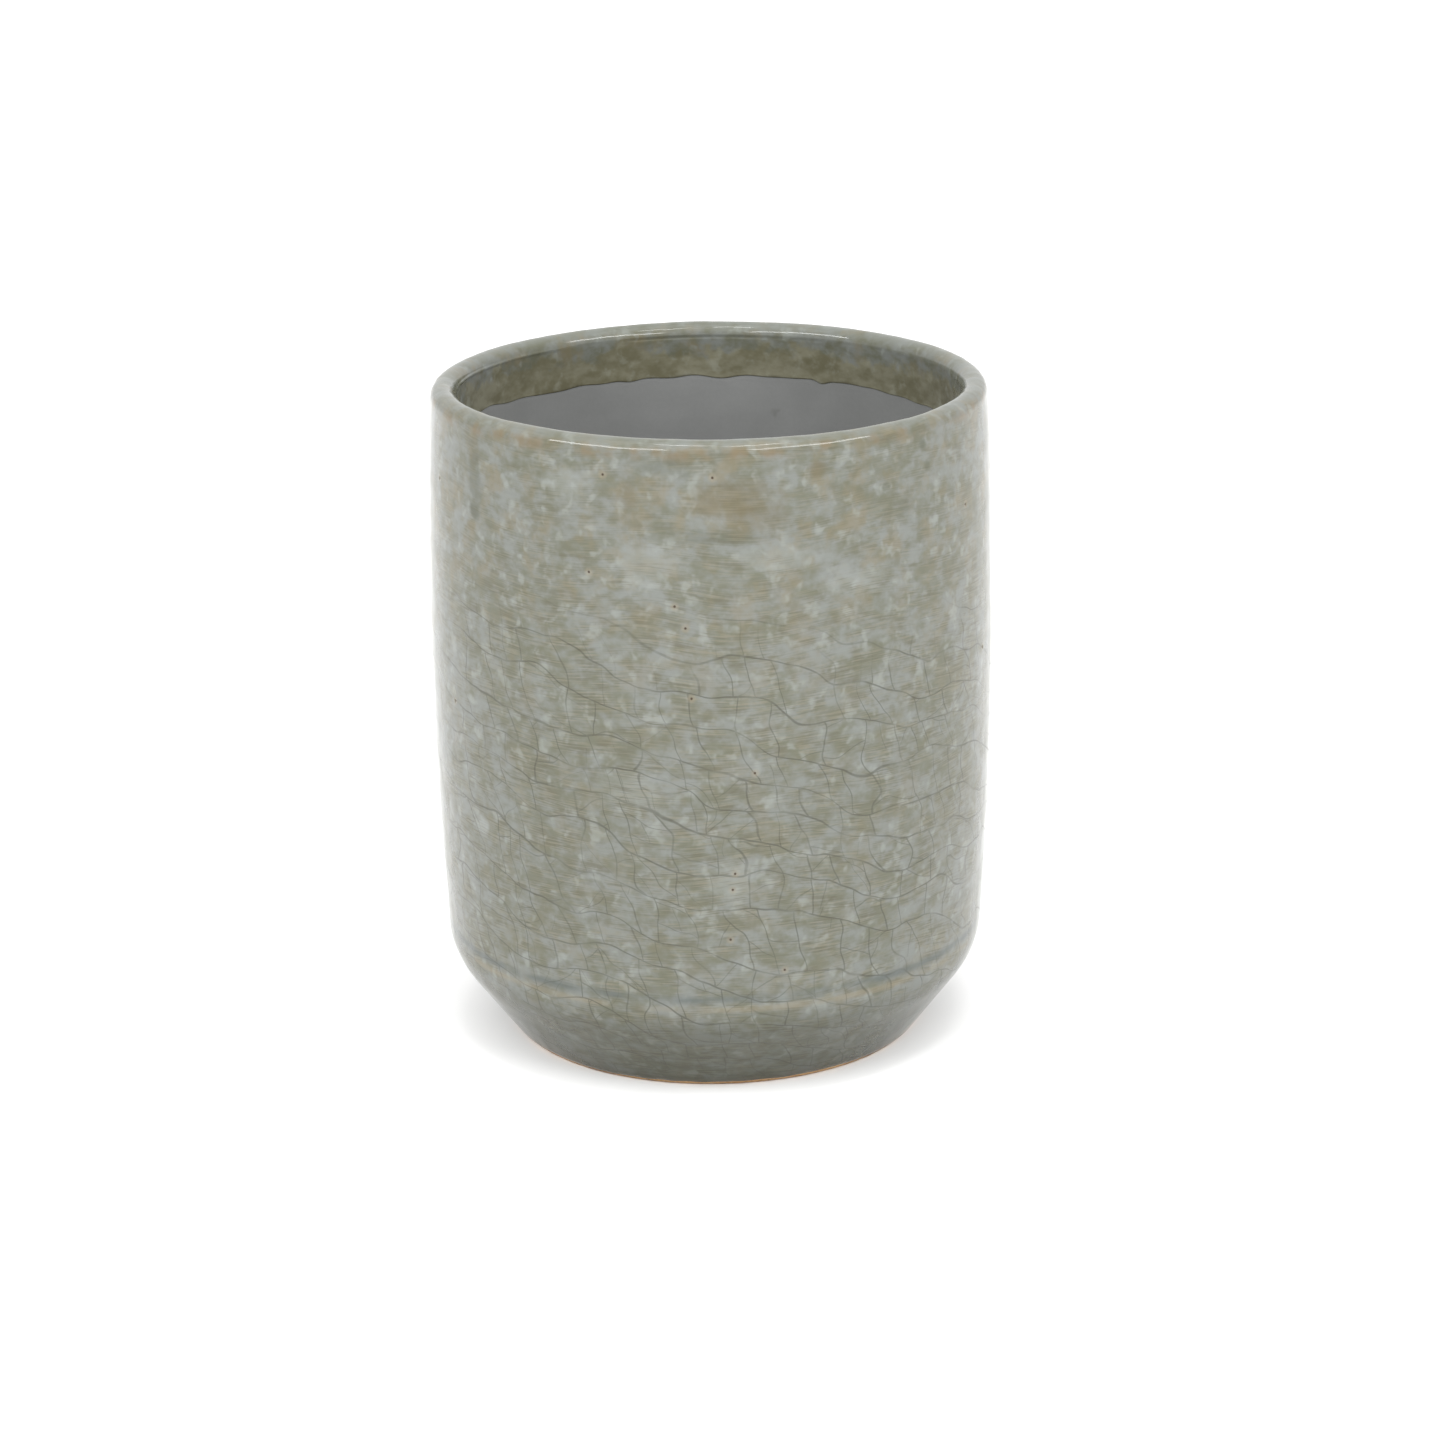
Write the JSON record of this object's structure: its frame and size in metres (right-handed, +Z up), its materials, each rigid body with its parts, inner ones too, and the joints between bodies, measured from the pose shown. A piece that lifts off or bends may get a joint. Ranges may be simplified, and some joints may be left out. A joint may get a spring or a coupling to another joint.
{
  "type": "brush holder pot",
  "caption": "Round glazed ceramic beaker for holding brushes upright, with a slightly bellied wall, a soft shoulder, a chamfered base and a rounded lip.",
  "frame": {"origin": "centre of the foot, on the surface the pot stands on", "axes": "+Z up along the pot's axis of revolution; X and Y are equal by symmetry"},
  "size_m": [0.12, 0.12, 0.142],
  "materials": {
    "bare_clay": "matt buff-tan fired clay, unglazed",
    "slip": "matt brushed slip under glaze",
    "crackle_glaze": "glossy mottled grey-green celadon with fine dark crackle",
    "grey_lining": "smooth plain mid grey, satin"
  },
  "bodies": {
    "root": {"clay_body": "bare_clay", "brushed_slip": "slip", "outer_glaze": "crackle_glaze", "inner_lining": "grey_lining"}
  },
  "joints": []
}
